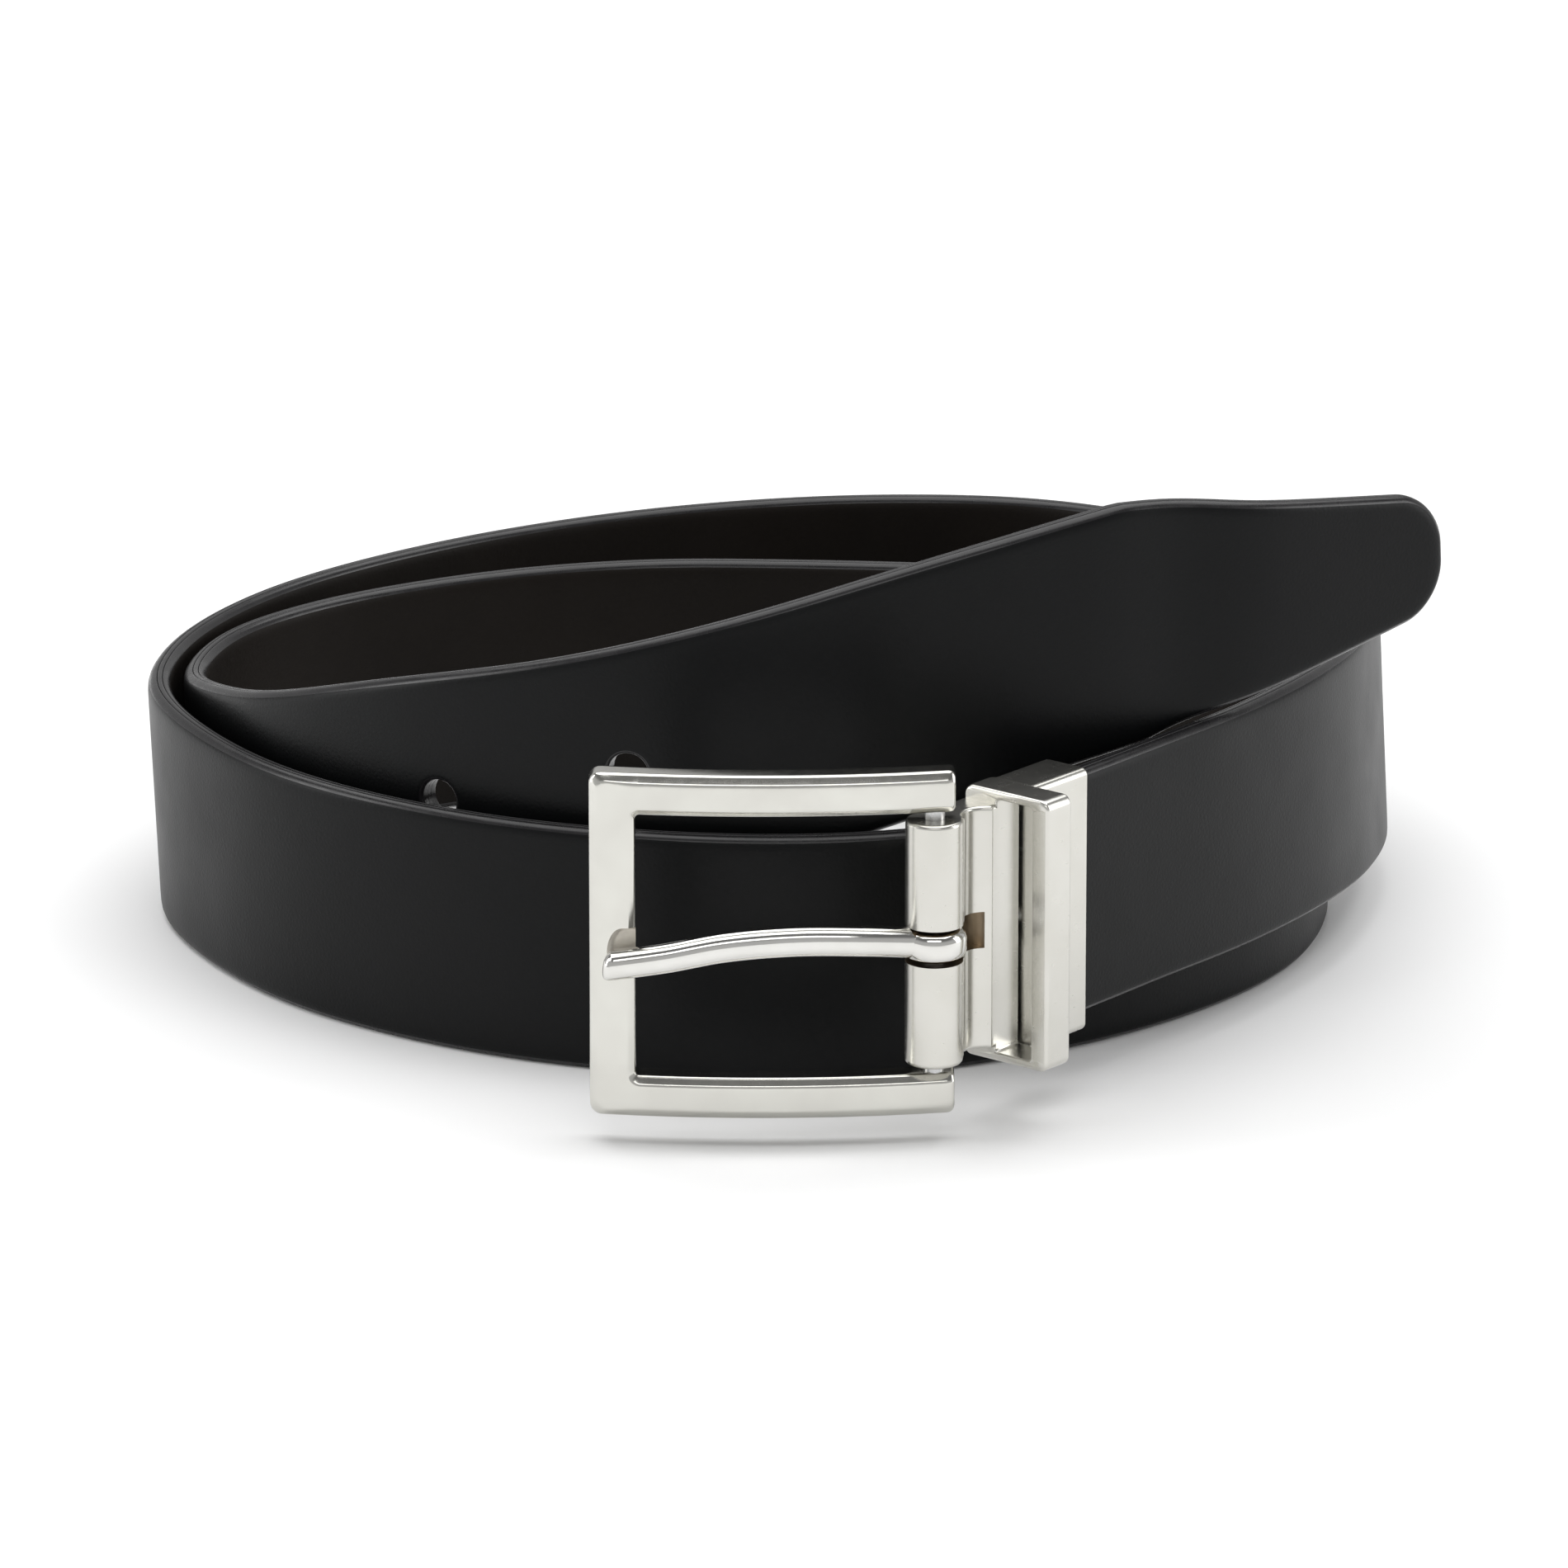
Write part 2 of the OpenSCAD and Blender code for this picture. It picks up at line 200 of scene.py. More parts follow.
def rounded_rect(a0, a1, b0, b1, radius, inset=0.0, per_corner=7, per_side=6):
    """Points round a rectangle with rounded corners, pulled in by inset."""
    a0, a1, b0, b1 = a0 + inset, a1 - inset, b0 + inset, b1 - inset
    r = max(radius - inset, 0.05)
    corners = [(a1 - r, b1 - r, 0), (a0 + r, b1 - r, 90),
               (a0 + r, b0 + r, 180), (a1 - r, b0 + r, 270)]
    out = []
    for ca, cb, start in corners:
        for i in range(per_corner):
            t = math.radians(start + 90 * i / (per_corner - 1))
            out.append((ca + r * math.cos(t), cb + r * math.sin(t)))
        na, nb, nstart = corners[(corners.index((ca, cb, start)) + 1) % 4]
        t = math.radians(nstart)
        end = (na + r * math.cos(t), nb + r * math.sin(t))
        last = out[-1]
        for i in range(1, per_side):
            f = i / per_side
            out.append((last[0] + (end[0] - last[0]) * f, last[1] + (end[1] - last[1]) * f))
    return out


def revolve(profile, axis, steps=64, gap_deg=0.0):
    """Turns (position along the axis, radius) points round the x or z axis.

    A profile that starts and ends at radius 0 makes a solid; any other is a closed ring's section.
    """
    ring_like = profile[0][1] > 0
    turn = 360 - gap_deg
    count = steps if gap_deg == 0 else steps + 1
    rings = []
    for i in range(count):
        t = math.radians(gap_deg / 2 + turn * i / steps)
        ring = []
        for pos, r in profile:
            c, s = r * math.cos(t), r * math.sin(t)
            ring.append((pos, c, s) if axis == "x" else (c, s, pos))
        rings.append(ring)
    count_p = len(profile)
    points = [p for ring in rings for p in ring]
    faces = []
    spans = count if gap_deg == 0 else count - 1
    for i in range(spans):
        a0, b0 = i * count_p, (i + 1) % count * count_p
        for k in range(count_p if ring_like else count_p - 1):
            n = (k + 1) % count_p
            faces.append((a0 + k, a0 + n, b0 + n, b0 + k))
    if gap_deg:
        faces.append(tuple(range(count_p)))
        faces.append(tuple(range(len(points) - count_p, len(points))))
    return points, faces


def box_points(low, high):
    x, y, z = zip(low, high)
    points = [(x[i], y[j], z[k]) for i in (0, 1) for j in (0, 1) for k in (0, 1)]
    faces = [(0, 1, 3, 2), (4, 6, 7, 5), (0, 4, 5, 1), (2, 3, 7, 6), (0, 2, 6, 4), (1, 5, 7, 3)]
    return points, faces


def cylinder(start, end, radius, axis, steps=64):
    return revolve([(start, 0), (start, radius), (end, radius), (end, 0)], axis, steps)


def shifted(shape, offset):
    points, faces = shape
    return [tuple(np.array(p) + np.array(offset)) for p in points], faces


# ---------------------------------------------------------------- materials


class Nodes:
    """A material's node tree, with short calls to add and join nodes."""

    def __init__(self, name):
        self.material = bpy.data.materials.new(name)
        self.material.use_nodes = True
        self.tree = self.material.node_tree
        self.shader = self.tree.nodes["Principled BSDF"]
        coords = self.add("ShaderNodeTexCoord")
        self.place = coords.outputs["Object"]

    def add(self, kind, **values):
        node = self.tree.nodes.new(kind)
        for key, value in values.items():
            if hasattr(node, key):
                setattr(node, key, value)
            else:
                node.inputs[key.replace("_", " ")].default_value = value
        return node

    def join(self, out, into):
        self.tree.links.new(out, into)

    def set(self, **values):
        for key, value in values.items():
            self.shader.inputs[key.replace("_", " ")].default_value = value

    def mapped(self, scale, rotation=(0, 0, 0)):
        """Coordinates in turned axes, divided by scale."""
        node = self.add("ShaderNodeMapping")
        node.vector_type = "TEXTURE"
        node.inputs["Scale"].default_value = scale
        node.inputs["Rotation"].default_value = rotation
        self.join(self.place, node.inputs["Vector"])
        return node.outputs["Vector"]

    def noise(self, scale, detail=3.0, roughness=0.5, vector=None):
        node = self.add("ShaderNodeTexNoise")
        node.inputs["Scale"].default_value = scale
        node.inputs["Detail"].default_value = detail
        node.inputs["Roughness"].default_value = roughness
        self.join(vector or self.place, node.inputs["Vector"])
        return node.outputs["Fac"]

    def cells(self, scale):
        """The distance to the nearest border between cells."""
        node = self.add("ShaderNodeTexVoronoi")
        node.feature = "DISTANCE_TO_EDGE"
        node.inputs["Scale"].default_value = scale
        self.join(self.place, node.inputs["Vector"])
        return node.outputs["Distance"]

    def spread(self, value, low, high, from_low=0.0, from_high=1.0):
        node = self.add("ShaderNodeMapRange")
        node.inputs["From Min"].default_value = from_low
        node.inputs["From Max"].default_value = from_high
        node.inputs["To Min"].default_value = low
        node.inputs["To Max"].default_value = high
        self.join(value, node.inputs["Value"])
        return node.outputs["Result"]

    def blend_colour(self, factor, colour_a, colour_b):
        node = self.add("ShaderNodeMix")
        node.data_type = "RGBA"
        node.inputs[6].default_value = (*colour_a, 1)
        node.inputs[7].default_value = (*colour_b, 1)
        self.join(factor, node.inputs[0])
        return node.outputs[2]

    def bump(self, height, distance, strength=1.0, normal=None):
        node = self.add("ShaderNodeBump")
        node.inputs["Strength"].default_value = strength
        node.inputs["Distance"].default_value = distance
        self.join(height, node.inputs["Height"])
        if normal is not None:
            self.join(normal, node.inputs["Normal"])
        return node.outputs["Normal"]


# Depths of the leather's grain, in metres
PEBBLE_DEPTH = 0.00006
PORE_DEPTH = 0.00003
WAVE_DEPTH = 0.00018


def leather(name, dark, light, rough_low, rough_high, grain, specular):
    """grain multiplies the depth of the grain."""
    n = Nodes(name)
    cloud = n.spread(n.noise(38, 3), 0, 1, 0.3, 0.7)
    n.join(n.blend_colour(cloud, dark, light), n.shader.inputs["Base Color"])
    sheen = n.spread(n.noise(90, 4), rough_low, rough_high, 0.25, 0.75)
    n.join(sheen, n.shader.inputs["Roughness"])
    pebble = n.bump(n.cells(1500), PEBBLE_DEPTH * grain, 0.35)
    pores = n.bump(n.noise(3600, 2, 0.6), PORE_DEPTH * grain, 0.35, pebble)
    waves = n.bump(n.noise(120, 2), WAVE_DEPTH * grain, 0.25, pores)
    n.join(waves, n.shader.inputs["Normal"])
    n.set(Specular_IOR_Level=specular)
    return n.material


def edge_paint(name):
    n = Nodes(name)
    n.join(n.blend_colour(n.noise(260, 3), (0.007, 0.007, 0.008), (0.02, 0.019, 0.02)),
           n.shader.inputs["Base Color"])
    n.join(n.spread(n.noise(420, 3), 0.22, 0.32, 0.3, 0.7), n.shader.inputs["Roughness"])
    fine = n.bump(n.noise(900, 3), 0.00001, 0.4)
    n.join(n.bump(n.noise(240, 2), 0.00004, 0.35, fine), n.shader.inputs["Normal"])
    n.set(Specular_IOR_Level=0.42)
    return n.material


# A brushing streak's length and widths, in metres
STREAK_SIZE = (1 / 45, 1 / 5200, 1 / 5200)


def metal(name, dark, light, rough_low, rough_high, brush=0.0, turn=0.0, pits=0.0):
    """brush: depth of brushing along x turned by turn. pits: depth of a cast surface."""
    n = Nodes(name)
    n.set(Metallic=1.0)
    cloud = n.spread(n.noise(160, 3), 0, 1, 0.3, 0.7)
    n.join(n.blend_colour(cloud, dark, light), n.shader.inputs["Base Color"])
    streaks = n.noise(1.0, 3, 0.6, n.mapped(STREAK_SIZE, (0, 0, turn)))
    speck = n.noise(900, 3)
    mixed = n.add("ShaderNodeMath", operation="ADD")
    n.join(n.spread(streaks, rough_low * 0.5, rough_high * 0.5, 0.3, 0.7), mixed.inputs[0])
    n.join(n.spread(speck, rough_low * 0.5, rough_high * 0.5, 0.3, 0.7), mixed.inputs[1])
    n.join(mixed.outputs[0], n.shader.inputs["Roughness"])
    normal = n.bump(n.noise(300, 2), 0.000012, 0.5)
    if brush:
        normal = n.bump(streaks, brush, 0.5, normal)
    if pits:
        normal = n.bump(n.noise(1900, 4, 0.65), pits, 0.8, normal)
    n.join(normal, n.shader.inputs["Normal"])
    return n.material


def fibre(name):
    n = Nodes(name)
    n.join(n.blend_colour(n.noise(900, 4), (0.012, 0.010, 0.009), (0.03, 0.024, 0.02)),
           n.shader.inputs["Base Color"])
    n.set(Roughness=0.8)
    n.join(n.bump(n.noise(2200, 4), 0.00008, 0.5), n.shader.inputs["Normal"])
    return n.material


ALONG_FRAME = math.pi - FOLD
OUTER = leather("outer_leather", (0.0022, 0.0025, 0.0028), (0.0036, 0.0039, 0.0042), 0.34, 0.42,
                grain=1.0, specular=0.15)
LINING = leather("lining_leather", (0.0075, 0.0058, 0.0046), (0.0115, 0.0090, 0.0072), 0.46, 0.56,
                 grain=1.2, specular=0.12)
EDGE = edge_paint("edge_paint")
CORE = fibre("core_board")
SATIN = metal("satin_nickel", (0.61, 0.60, 0.56), (0.67, 0.665, 0.62), 0.13, 0.2,
              brush=0.000003, turn=ALONG_FRAME)
CASTING = metal("satin_nickel_casting", (0.62, 0.61, 0.565), (0.66, 0.65, 0.61), 0.24, 0.28)
POLISHED = metal("polished_nickel", (0.68, 0.67, 0.64), (0.75, 0.745, 0.72), 0.07, 0.14)
ROUGH = metal("rough_nickel", (0.46, 0.42, 0.36), (0.68, 0.65, 0.59), 0.34, 0.5, pits=0.00004)
# The keeper's prong slot and its mouth get a dark brown metal: painted shade of the recess between
# the barrels
SLOT_SHADE = metal("painted_shade_recess", (0.1, 0.072, 0.04), (0.32, 0.25, 0.17), 0.3, 0.42,
                  pits=0.00003)
STEEL = metal("bare_steel", (0.5, 0.5, 0.5), (0.62, 0.62, 0.62), 0.22, 0.36, brush=0.000004)

# ---------------------------------------------------------------- strap

STRAP_W = 30.0
HOLE_R = 2.4
HOLE_COUNT = 5
HOLE_PITCH = 25.4
TIP_TO_HOLE = 108.0
TIP_LEN = 45.0
TIP_W = 14.0
TIP_R = 6.0

# Stations round the coil: angle, radius, height of the strap's middle, outward lean of its top
STATIONS = [
    (-105, 77.6, 24.3, 0), (-94, 74.3, 24, -0.3), (-78, 72, 23.4, -0.8), (-60, 71.6, 21.8, -1.4),
    (-40, 73.8, 19.6, -1.4), (-15, 76.4, 17.3, -0.8), (10, 77.2, 16, 0), (28, 75.7, 15.2, 0),
    (47, 71.5, 15, 0), (68, 68.6, 15, 0), (89, 69, 15, 0.4), (107, 71.9, 15, 0.8),
    (125, 75.2, 15, 1.2), (142, 76.6, 15, 1.4), (166, 75.2, 15, 1.4), (189, 74, 15, 1),
    (211, 73.5, 15, 0.3), (230, 73, 15, 0), (251, 70.4, 15, 0), (272, 68.6, 15, -0.4),
    (290, 67, 15, -1), (310, 65, 15, -0.8), (333, 61, 15, -0.4), (350, 55.3, 15, 0),
    (365, 49.8, 15, 0), (380, 45.6, 15, 0), (400, 44.2, 15, 0), (420, 47.4, 15, 0),
    (438, 52, 15, 0), (452, 57, 15, 0), (465, 63, 15, 0.4), (478, 69, 15, 0.8),
    (490, 71.8, 15, 1.2), (500, 72, 16.1, 1), (520, 71, 21.1, 0.6), (540, 69.6, 28.2, 0.4),
    (560, 69.2, 34.4, 0), (578, 69.2, 40.8, 0), (596, 70.2, 47.4, 0), (612, 71.8, 51.5, 0),
    (620, 72.2, 52.5, 0), (626, 76.2, 52.8, 0), (645, 86.2, 54.3, 0)]
# The strap runs straight out of the clamp through these places, at this y from the coil's centre
ENTRY_X = (-47.4, -41.0, -35.0)
ENTRY_Y = -75.2


def curve_through(a, b, c, d, f):
    """A point of the Catmull-Rom curve between b and c."""
    return 0.5 * (2 * b + (c - a) * f + (2 * a - 5 * b + 4 * c - d) * f * f
                  + (3 * b - a - 3 * c + d) * f * f * f)


def route_points(step):
    knots = [(x, ENTRY_Y, AXIS[2], 0) for x in ENTRY_X]
    for angle, radius, z, lean in STATIONS:
        t = math.radians(angle)
        knots.append((radius * math.cos(t), radius * math.sin(t), z, lean))
    knots = np.array(knots, float)
    last = len(knots) - 1
    out = []
    for i in range(last):
        a, b, c, d = knots[max(i - 1, 0)], knots[i], knots[i + 1], knots[min(i + 2, last)]
        n = math.ceil(np.linalg.norm(c - b) / step)
        out += [curve_through(a, b, c, d, j / n) for j in range(n)]
    out.append(knots[last])
    return np.array(out)


def even_steps(points, step):
    """The same route with points an even step apart."""
    s = np.concatenate([[0], np.cumsum(np.linalg.norm(np.diff(points[:, :3], axis=0), axis=1))])
    grid = np.linspace(0, s[-1], int(round(s[-1] / step)) + 1)
    return grid, np.stack([np.interp(grid, s, points[:, k]) for k in range(4)], axis=1)


class Route:
    """The strap's middle line, smoothed so that reflections run evenly along it."""

    STEP = 0.5
    SMOOTH = 4.5

    def __init__(self):
        s, p = even_steps(route_points(self.STEP), self.STEP)
        p[:, 2] = np.maximum(p[:, 2], STRAP_W / 2)
        reach = int(4 * self.SMOOTH / self.STEP)
        k = np.arange(-reach, reach + 1)
        weights = np.exp(-0.5 * (k * self.STEP / self.SMOOTH) ** 2)
        weights /= weights.sum()
        before = 2 * p[0] - p[1:reach + 1][::-1]
        after = 2 * p[-1] - p[-reach - 1:-1][::-1]
        padded = np.concatenate([before, p, after])
        smooth = np.stack([np.convolve(padded[:, c], weights, "valid") for c in range(4)], axis=1)
        self.s = s
        self.length = s[-1]
        self.points = smooth[:, :3] + COIL
        self.lean = smooth[:, 3]
        t = np.gradient(self.points, axis=0)
        t /= np.linalg.norm(t, axis=1)[:, None]
        up = np.array([0, 0, 1]) - t[:, 2:] * t
        up /= np.linalg.norm(up, axis=1)[:, None]
        self.out = np.cross(t, up)
        self.across = up + self.out * (self.lean / STRAP_W)[:, None]

    def place(self, s, v, n):
        """Points at arc length s, v across the strap from its middle and n out from it."""
        s = np.asarray(s, float)

        def at(field):
            return np.stack([np.interp(s, self.s, field[:, k]) for k in range(3)], axis=1)

        low = at(self.points) + at(self.out) * np.asarray(n)[:, None]
        return low + at(self.across) * np.asarray(v)[:, None]


def half_width(d):
    """Half the strap's width at distance d from its tip."""
    w = TIP_W / 2 + (STRAP_W - TIP_W) / 2 * np.minimum(d, TIP_LEN) / TIP_LEN
    bite = np.where(d < TIP_R, TIP_R - np.sqrt(np.maximum(TIP_R**2 - (TIP_R - d)**2, 0)), 0)
    return w - bite


ROWS = 20  # faces across the strap
PATCH = 4  # half the side of the square of faces left out for a hole
COLUMN = HOLE_PITCH / 20  # length of a face along the strap
CLAMPED_END = 7.7  # where the strap's end stands along the route, inside the clamp
PAINTED = 0.7  # edge paint covers a layer's face to about this far in from its edge


def strap_columns(length):
    first_hole = length - TIP_TO_HOLE
    before = np.arange(first_hole, CLAMPED_END + COLUMN / 2, -COLUMN)[::-1]
    after = np.arange(first_hole + COLUMN, length - TIP_R - COLUMN / 2, COLUMN)
    tip = length - TIP_R * (1 - np.sin(np.radians(np.linspace(0, 90, 14))))
    return np.concatenate([[CLAMPED_END], before, after, tip])


def layer_shape(route, profile, lip):
    """One layer of the strap: (inset from the edge, n) profile from its outer to its inner side."""
    columns = strap_columns(route.length)
    count = len(columns)
    half = half_width(route.length - columns)
    flat = np.linspace(-half[-1], half[-1], ROWS + 1)[1:-1]
    outline_s = np.concatenate([columns, np.full(ROWS - 1, columns[-1]), columns[::-1]])
    outline_v = np.concatenate([-half, flat, half[::-1]])
    slope = np.gradient(half, columns)
    normal_s = -slope / np.sqrt(1 + slope**2)
    normal_v = 1 / np.sqrt(1 + slope**2)
    turn = np.clip((route.length - columns) / TIP_R, 0, 1)
    in_arc = turn < 1
    normal_s = np.where(in_arc, 1 - turn, normal_s)
    normal_v = np.where(in_arc, np.sqrt(np.maximum(1 - (1 - turn) ** 2, 0)), normal_v)
    out_s = np.concatenate([normal_s, np.ones(ROWS - 1), normal_s[::-1]])
    out_v = np.concatenate([-normal_v, np.zeros(ROWS - 1), normal_v[::-1]])
    loop = len(outline_s)

    s_all, v_all, n_all = [], [], []
    for inset, n in profile:
        s_all.append(outline_s - out_s * inset)
        v_all.append(outline_v - out_v * inset)
        n_all.append(np.full(loop, n))
    faces, kinds = [], []
    last = len(profile) - 1
    for k in range(last):
        for t in range(loop - 1):
            a, b = k * loop + t, (k + 1) * loop + t
            faces.append((a, a + 1, b + 1, b))
            kinds.append(0 if profile[k + 1][0] > PAINTED and k < last / 2 else 1)

    total = loop * len(profile)
    grids = []
    for k in (0, last):
        grid = np.zeros((count, ROWS + 1), int)
        grid[:, 0] = k * loop + np.arange(count)
        grid[:, ROWS] = k * loop + loop - 1 - np.arange(count)
        grid[count - 1, 1:ROWS] = k * loop + count - 1 + np.arange(1, ROWS)
        f = np.arange(1, ROWS) / ROWS
        low_s, low_v = s_all[k][:count - 1], v_all[k][:count - 1]
        high_s, high_v = s_all[k][::-1][:count - 1], v_all[k][::-1][:count - 1]
        inner_s = low_s[:, None] * (1 - f) + high_s[:, None] * f
        inner_v = low_v[:, None] * (1 - f) + high_v[:, None] * f
        grid[:count - 1, 1:ROWS] = total + np.arange(inner_s.size).reshape(inner_s.shape)
        total += inner_s.size
        s_all.append(inner_s.ravel())
        v_all.append(inner_v.ravel())
        n_all.append(np.full(inner_s.size, profile[k][1]))
        grids.append(grid)

    first_hole = route.length - TIP_TO_HOLE
    centres = [first_hole - k * HOLE_PITCH for k in range(HOLE_COUNT)]
    holes = [int(np.argmin(np.abs(columns - s))) for s in centres]
    mid = ROWS // 2
    for side, grid in enumerate(grids):
        for c in range(count - 1):
            in_patch = any(h - PATCH <= c < h + PATCH for h in holes)
            for r in range(ROWS):
                if in_patch and mid - PATCH <= r < mid + PATCH:
                    continue
                quad = (grid[c, r], grid[c + 1, r], grid[c + 1, r + 1], grid[c, r + 1])
                faces.append(tuple(int(q) for q in quad))
                kinds.append(0 if side == 0 else 1)

    steps = 8 * PATCH
    angles = np.radians(45 + 360 * np.arange(steps) / steps)
    n_top, n_low = profile[0][1], profile[-1][1]
    side_sign = 1 if n_top > n_low else -1
    rings = [(r, n_top - side_sign * drop) for r, drop in lip] + [(HOLE_R, n_low)]
    for h in holes:
        square = [(PATCH - i, PATCH) for i in range(2 * PATCH)]
        square += [(-PATCH, PATCH - i) for i in range(2 * PATCH)]
        square += [(i - PATCH, -PATCH) for i in range(2 * PATCH)]
        square += [(PATCH, i - PATCH) for i in range(2 * PATCH)]
        loops = [[int(grids[0][h + c, mid + r]) for c, r in square]]
        for radius, n in rings:
            s_all.append(columns[h] + radius * np.cos(angles))
            v_all.append(radius * np.sin(angles))
            n_all.append(np.full(steps, n))
            loops.append(list(range(total, total + steps)))
            total += steps
        loops.append([int(grids[1][h + c, mid + r]) for c, r in square])
        for i in range(len(loops) - 1):
            for k in range(steps):
                m = (k + 1) % steps
                faces.append((loops[i][k], loops[i][m], loops[i + 1][m], loops[i + 1][k]))
                kinds.append(0 if i < 2 else 1)

    start = [int(i) for i in grids[0][0]]
    start += [k * loop + loop - 1 for k in range(1, last)]
    start += [int(i) for i in grids[1][0][::-1]]
    start += [k * loop for k in range(last - 1, 0, -1)]
    faces.append(tuple(start))
    kinds.append(1)
    points = route.place(np.concatenate(s_all), np.concatenate(v_all), np.concatenate(n_all))
    return points, faces, kinds


# Each layer's edge: distance in from the edge, and distance out from the strap's middle
OUTER_PROFILE = [(2.6, 1.5), (1.7, 1.485), (1.15, 1.43), (0.72, 1.29), (0.42, 1.07), (0.2, 0.8),
                 (0.1, 0.56), (0.07, 0.42), (0.09, 0.34), (0.16, 0.3), (0.8, 0.3)]
LINING_PROFILE = [(2.6, -1.5), (1.7, -1.485), (1.15, -1.43), (0.72, -1.29), (0.42, -1.09),
                  (0.2, -0.86), (0.1, -0.64), (0.07, -0.52), (0.09, -0.44), (0.16, -0.4),
                  (0.8, -0.4)]
CORE_PROFILE = [(1.0, 0.25), (0.12, 0.25), (0.06, 0.2), (0.04, 0.05), (0.04, -0.15), (0.06, -0.3),
                (0.12, -0.35), (1.0, -0.35)]
# A hole's rim: radius, and depth below the layer's face
LIP = [(3.3, 0.0), (2.8, 0.02), (2.58, 0.1), (2.45, 0.24), (HOLE_R, 0.42)]
PLAIN_LIP = [(3.3, 0.0), (HOLE_R, 0.0)]


def build_strap():
    route = Route()
    layers = [
        ("strap_outer_skin", OUTER_PROFILE, LIP, OUTER, "outer_leather", "strap_outer_leather"),
        ("strap_core_board", CORE_PROFILE, PLAIN_LIP, CORE, "core", "strap_core"),
        ("strap_lining_skin", LINING_PROFILE, LIP, LINING, "lining_leather", "strap_lining")]
    for name, profile, lip, material, slot, node in layers:
        points, faces, kinds = layer_shape(route, profile, lip)
        obj = make_object(name, points, faces, (material, EDGE), kinds)
        finish_piece(obj, "belt", slot, node, sharp_deg=50)


# ---------------------------------------------------------------- buckle frame

FRAME_TOP = 20.8
FRAME_LEN = 40.0
ARM_OVER = 2.4
ARM_H = 5.0
BAR_W = 5.4
BOW_R = 110.0
CORNER_R = 1.4
WINDOW_R = 0.5
FRAME_T = 4.0


def frame_path():
    """Pairs of outer and inner edge points round the frame, from the top arm's end."""
    inner_x = FRAME_LEN - BAR_W
    start_x = inner_x - WINDOW_R
    pairs = [((x, FRAME_TOP), (x, FRAME_TOP - ARM_H)) for x in np.linspace(-ARM_OVER, start_x, 40)]
    straight = FRAME_LEN - CORNER_R - start_x
    arc = CORNER_R * math.pi / 2
    down = ARM_H + WINDOW_R - CORNER_R
    steps = 22
    for i in range(1, steps + 1):
        u = i / steps
        d = u * (straight + arc + down)
        t = math.radians(90 * (1 - u))
        inner = (start_x + WINDOW_R * math.cos(t),
                 FRAME_TOP - ARM_H - WINDOW_R + WINDOW_R * math.sin(t))
        if d < straight:
            outer = (start_x + d, FRAME_TOP)
        elif d < straight + arc:
            a = math.pi / 2 * (1 - (d - straight) / arc)
            outer = (FRAME_LEN - CORNER_R + CORNER_R * math.cos(a),
                     FRAME_TOP - CORNER_R + CORNER_R * math.sin(a))
        else:
            outer = (FRAME_LEN, FRAME_TOP - CORNER_R - (d - straight - arc))
        pairs.append((outer, inner))
    bar_z = FRAME_TOP - ARM_H - WINDOW_R
    bar = [((FRAME_LEN, z), (inner_x, z)) for z in np.linspace(bar_z, 0, 16)[1:]]
    half = pairs + bar
    mirrored = [((ox, -oz), (ix, -iz)) for (ox, oz), (ix, iz) in half[::-1][1:]]
    return half + mirrored


def frame_section(width):
    """(distance from the outer edge, depth) round the bar; depth 2 is the front face."""
    front = FRAME_T / 2
    outer = [(0.0, -1.2), (0.0, 0.8), (0.03, 1.12), (0.12, 1.3), (0.27, 1.43), (0.85, 1.83),
             (1.02, 1.92), (1.25, 1.98), (1.6, front)]
    inner = [(1.35, front), (1.1, 1.985), (0.92, 1.93), (0.78, 1.85), (0.26, 1.44), (0.12, 1.3),
             (0.03, 1.12), (0.0, 0.85), (0.0, -1.2)]
    back = [(0.05, -1.55), (0.2, -1.82), (0.45, -1.95), (0.8, -front)]
    section = outer + [(width - a, d) for a, d in inner]
    section += [(width - a, d) for a, d in back]
    section += back[::-1]
    return section


def bowed(x, z, depth):
    """The frame is bowed about an upright axis behind it."""
    middle_x = FRAME_LEN / 2
    centre = math.sqrt(BOW_R**2 - middle_x**2)
    return (x, centre - math.sqrt((BOW_R + depth) ** 2 - (x - middle_x) ** 2), z)


# The rounding of the arms' ends: distance from the end, and how far the section is pulled in
ARM_ENDS = [(0.0, 0.55), (0.06, 0.35), (0.2, 0.18), (0.45, 0.05), (0.8, 0.0)]
CORNER_PULL = 1.6  # the outer corner is pulled in this much more

# The prong's seat in the closing bar: an arch cut into its front face
NOTCH_LOW = -3.6
NOTCH_HIGH = 2.3
NOTCH_BEFORE = 2.0
NOTCH_REACH = 3.4
NOTCH_SQUASH = 0.62
NOTCH_FLOOR = -1.55
NOTCH_LEVELS = [(0.0, 0.55), (0.12, 0.25), (0.4, 0.08), (3.0, -0.1)]  # above the floor, inset


def notch_cutter():
    r = (NOTCH_HIGH - NOTCH_LOW) / 2
    centre_z = (NOTCH_HIGH + NOTCH_LOW) / 2
    x0 = FRAME_LEN - BAR_W - NOTCH_BEFORE
    x1 = FRAME_LEN - BAR_W + NOTCH_REACH
    wide = r * NOTCH_SQUASH
    arch = [(x0, NOTCH_LOW)]
    for k in range(17):
        t = math.radians(-90 + 180 * k / 16)
        arch.append((x1 - wide + wide * math.cos(t), centre_z + r * math.sin(t)))
    arch.append((x0, NOTCH_HIGH))
    centre = np.array([x0, centre_z])
    rings = []
    for above, inset in NOTCH_LEVELS:
        shrunk = [centre + (np.array(p) - centre) * (1 - inset / r) for p in arch]
        rings.append([(x, NOTCH_FLOOR - above, z) for x, z in shrunk])
    points, faces = loft(rings)
    return make_object("notch", on_frame(points), faces, (ROUGH,))


